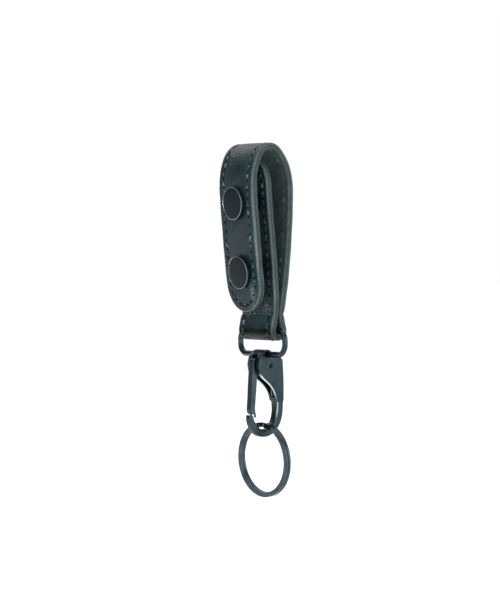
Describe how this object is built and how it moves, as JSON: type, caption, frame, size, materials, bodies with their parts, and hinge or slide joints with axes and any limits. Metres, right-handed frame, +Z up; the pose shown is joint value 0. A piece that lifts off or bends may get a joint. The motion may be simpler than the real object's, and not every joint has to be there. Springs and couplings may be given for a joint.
{
  "type": "belt key strap",
  "caption": "Snapped leather belt loop holding a rectangular wire ring, a spring snap hook with a sprung gate, and a split key ring.",
  "frame": {"origin": "middle of the loop's inner top, where it rests on a belt's upper edge", "axes": "+X across the strap's width, -Y towards the side with the snap caps, +Z up"},
  "size_m": [0.033, 0.0242, 0.1421],
  "materials": {
    "leather": "black grain leather, smooth, light sheen",
    "lining": "black split leather lining, matte",
    "thread": "black waxed polyester thread",
    "cap_enamel": "black baked enamel on brass",
    "snap_brass": "black oxidised brass",
    "ring_wire": "satin black plated steel wire",
    "hook_metal": "satin black finish on die-cast zinc",
    "gate_steel": "satin black finish on pressed steel",
    "spring_wire": "spring steel wire",
    "key_ring_steel": "black oxide on spring steel band"
  },
  "bodies": {
    "strap": {"strap_outer_leather": "leather", "strap_lining": "lining", "strap_edge_thread": "thread", "cross_seam_thread": "thread", "snap_stud_upper": "snap_brass", "snap_stud_lower": "snap_brass", "snap_eyelet_upper": "snap_brass", "snap_eyelet_lower": "snap_brass"},
    "flap": {"flap_outer_leather": "leather", "flap_lining": "lining", "flap_edge_thread": "thread", "snap_cap_upper": "cap_enamel", "snap_cap_lower": "cap_enamel", "snap_socket_upper": "snap_brass", "snap_socket_lower": "snap_brass", "snap_spring_upper": "spring_wire", "snap_spring_lower": "spring_wire"},
    "ring": {"rectangular_ring": "ring_wire"},
    "hook": {"hook_body": "hook_metal", "gate_rivet": "hook_metal", "gate_spring": "spring_wire"},
    "gate": {"hook_gate": "gate_steel"},
    "key_ring": {"key_ring": "key_ring_steel"}
  },
  "joints": [
    {"name": "flap_lift", "type": "hinge", "parent": "strap", "child": "flap", "pos_m": [0, -0.0055, 0.00075], "axis": [-1, 0, 0], "range_deg": [0, 110], "deforming": ["snap_spring_upper", "snap_spring_lower"]},
    {"name": "ring_swing", "type": "hinge", "parent": "strap", "child": "ring", "pos_m": [0, 0.0031, -0.0719], "axis": [1, 0, 0], "range_deg": [-60, 60]},
    {"name": "hook_swing", "type": "hinge", "parent": "ring", "child": "hook", "pos_m": [0, 0.0031, -0.0816], "axis": [1, 0, 0], "range_deg": [-60, 60]},
    {"name": "gate_open", "type": "hinge", "parent": "hook", "child": "gate", "pos_m": [0, 0.00446, -0.0862], "axis": [1, 0, 0], "range_deg": [0, 22], "stiffness_Nm_per_rad": 0.02, "springref_deg": -22.92, "deforming": ["gate_spring"]},
    {"name": "key_ring_swing", "type": "hinge", "parent": "hook", "child": "key_ring", "pos_m": [0, 0.0033, -0.1133], "axis": [-0.087, 0.9948, 0.0523], "range_deg": [-25, 25]}
  ]
}
